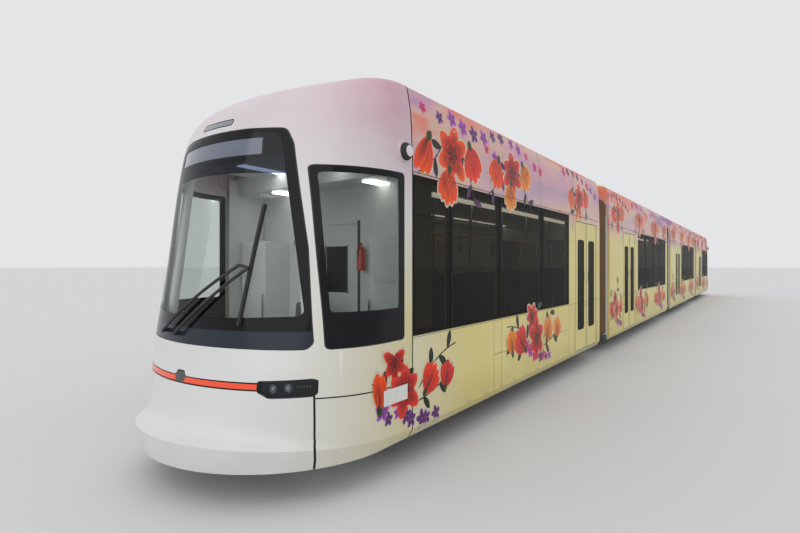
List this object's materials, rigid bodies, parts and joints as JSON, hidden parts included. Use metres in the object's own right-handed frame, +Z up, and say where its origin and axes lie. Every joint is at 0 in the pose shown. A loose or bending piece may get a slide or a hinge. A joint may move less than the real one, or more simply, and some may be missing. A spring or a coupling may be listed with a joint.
{
  "type": "articulated low-floor tram",
  "caption": "Articulated low-floor tram with a cab at each end, hinged sections joined by bellows gangways, plug doors and bogies with free-turning wheelsets.",
  "frame": {"origin": "middle of the tram in plan, on the floor that the wheel flanges touch", "axes": "+X to the front cab, +Y to the left side, +Z up"},
  "size_m": [35.3702, 2.79, 3.5778],
  "materials": {
    "body_paint": "gloss",
    "roof_paint": "gloss",
    "frame_paint": "satin",
    "door_paint": "gloss",
    "dark_glass": "tinted",
    "cab_paint": "pearl gloss",
    "lamp_black": "gloss",
    "gear_paint": "satin",
    "seat_plastic": "matte",
    "cab_trim": "matte",
    "bellows_rubber": "pleated",
    "bogie_paint": "matte",
    "wheel_steel": "machined tread"
  },
  "bodies": {
    "section_1": {"section_1_side_walls": "body_paint", "section_1_roof": "roof_paint", "section_1_roof_gear": "gear_paint", "section_1_windows": "dark_glass", "section_1_doors": "door_paint", "section_1_end_frames": "frame_paint", "section_1_underframe": "frame_paint", "section_1_seats_and_poles": "seat_plastic", "bogie_1_frame": "bogie_paint", "front_cab_shell": "cab_paint", "front_cab_glass": "dark_glass", "front_cab_lamps": "lamp_black", "front_cab_fittings": "cab_trim", "front_cab_wiper": "lamp_black", "front_cab_towing_eye": "bogie_paint", "gangway_1_bellows": "bellows_rubber"},
    "wheelset_1_front": {"bogie_1_front_wheelset": "wheel_steel"},
    "wheelset_1_rear": {"bogie_1_rear_wheelset": "wheel_steel"},
    "section_2": {"section_2_side_walls": "body_paint", "section_2_roof": "roof_paint", "section_2_roof_gear": "gear_paint", "section_2_windows": "dark_glass", "section_2_doors": "door_paint", "section_2_end_frames": "frame_paint", "section_2_underframe": "frame_paint", "section_2_seats_and_poles": "seat_plastic", "bogie_2_frame": "bogie_paint", "gangway_2_bellows": "bellows_rubber"},
    "wheelset_2_front": {"bogie_2_front_wheelset": "wheel_steel"},
    "wheelset_2_rear": {"bogie_2_rear_wheelset": "wheel_steel"},
    "section_3": {"section_3_side_walls": "body_paint", "section_3_roof": "roof_paint", "section_3_roof_gear": "gear_paint", "section_3_windows": "dark_glass", "section_3_doors": "door_paint", "section_3_end_frames": "frame_paint", "section_3_underframe": "frame_paint", "section_3_seats_and_poles": "seat_plastic", "bogie_3_frame": "bogie_paint", "gangway_3_bellows": "bellows_rubber"},
    "wheelset_3_front": {"bogie_3_front_wheelset": "wheel_steel"},
    "wheelset_3_rear": {"bogie_3_rear_wheelset": "wheel_steel"},
    "section_4": {"section_4_side_walls": "body_paint", "section_4_roof": "roof_paint", "section_4_roof_gear": "gear_paint", "section_4_windows": "dark_glass", "section_4_doors": "door_paint", "section_4_end_frames": "frame_paint", "section_4_underframe": "frame_paint", "section_4_seats_and_poles": "seat_plastic", "bogie_4_frame": "bogie_paint", "rear_cab_shell": "cab_paint", "rear_cab_glass": "dark_glass", "rear_cab_lamps": "lamp_black", "rear_cab_fittings": "cab_trim", "rear_cab_wiper": "lamp_black", "rear_cab_towing_eye": "bogie_paint"},
    "wheelset_4_front": {"bogie_4_front_wheelset": "wheel_steel"},
    "wheelset_4_rear": {"bogie_4_rear_wheelset": "wheel_steel"}
  },
  "joints": [
    {"name": "articulation_1", "type": "hinge", "parent": "section_1", "child": "section_2", "pos_m": [9, 0, 0.25], "axis": [0, 0, 1], "range_deg": [-20, 20], "deforming": ["gangway_1_bellows"]},
    {"name": "articulation_2", "type": "hinge", "parent": "section_2", "child": "section_3", "pos_m": [0, 0, 0.25], "axis": [0, 0, 1], "range_deg": [-20, 20], "deforming": ["gangway_2_bellows"]},
    {"name": "articulation_3", "type": "hinge", "parent": "section_3", "child": "section_4", "pos_m": [-9, 0, 0.25], "axis": [0, 0, 1], "range_deg": [-20, 20], "deforming": ["gangway_3_bellows"]},
    {"name": "wheelset_1_front_spin", "type": "hinge", "parent": "section_1", "child": "wheelset_1_front", "pos_m": [14.56, 0, 0.328], "axis": [0, 1, 0], "continuous": true},
    {"name": "wheelset_1_rear_spin", "type": "hinge", "parent": "section_1", "child": "wheelset_1_rear", "pos_m": [12.76, 0, 0.328], "axis": [0, 1, 0], "continuous": true},
    {"name": "wheelset_2_front_spin", "type": "hinge", "parent": "section_2", "child": "wheelset_2_front", "pos_m": [5.4, 0, 0.328], "axis": [0, 1, 0], "continuous": true},
    {"name": "wheelset_2_rear_spin", "type": "hinge", "parent": "section_2", "child": "wheelset_2_rear", "pos_m": [3.6, 0, 0.328], "axis": [0, 1, 0], "continuous": true},
    {"name": "wheelset_3_front_spin", "type": "hinge", "parent": "section_3", "child": "wheelset_3_front", "pos_m": [-3.6, 0, 0.328], "axis": [0, 1, 0], "continuous": true},
    {"name": "wheelset_3_rear_spin", "type": "hinge", "parent": "section_3", "child": "wheelset_3_rear", "pos_m": [-5.4, 0, 0.328], "axis": [0, 1, 0], "continuous": true},
    {"name": "wheelset_4_front_spin", "type": "hinge", "parent": "section_4", "child": "wheelset_4_front", "pos_m": [-12.76, 0, 0.328], "axis": [0, 1, 0], "continuous": true},
    {"name": "wheelset_4_rear_spin", "type": "hinge", "parent": "section_4", "child": "wheelset_4_rear", "pos_m": [-14.56, 0, 0.328], "axis": [0, 1, 0], "continuous": true}
  ]
}
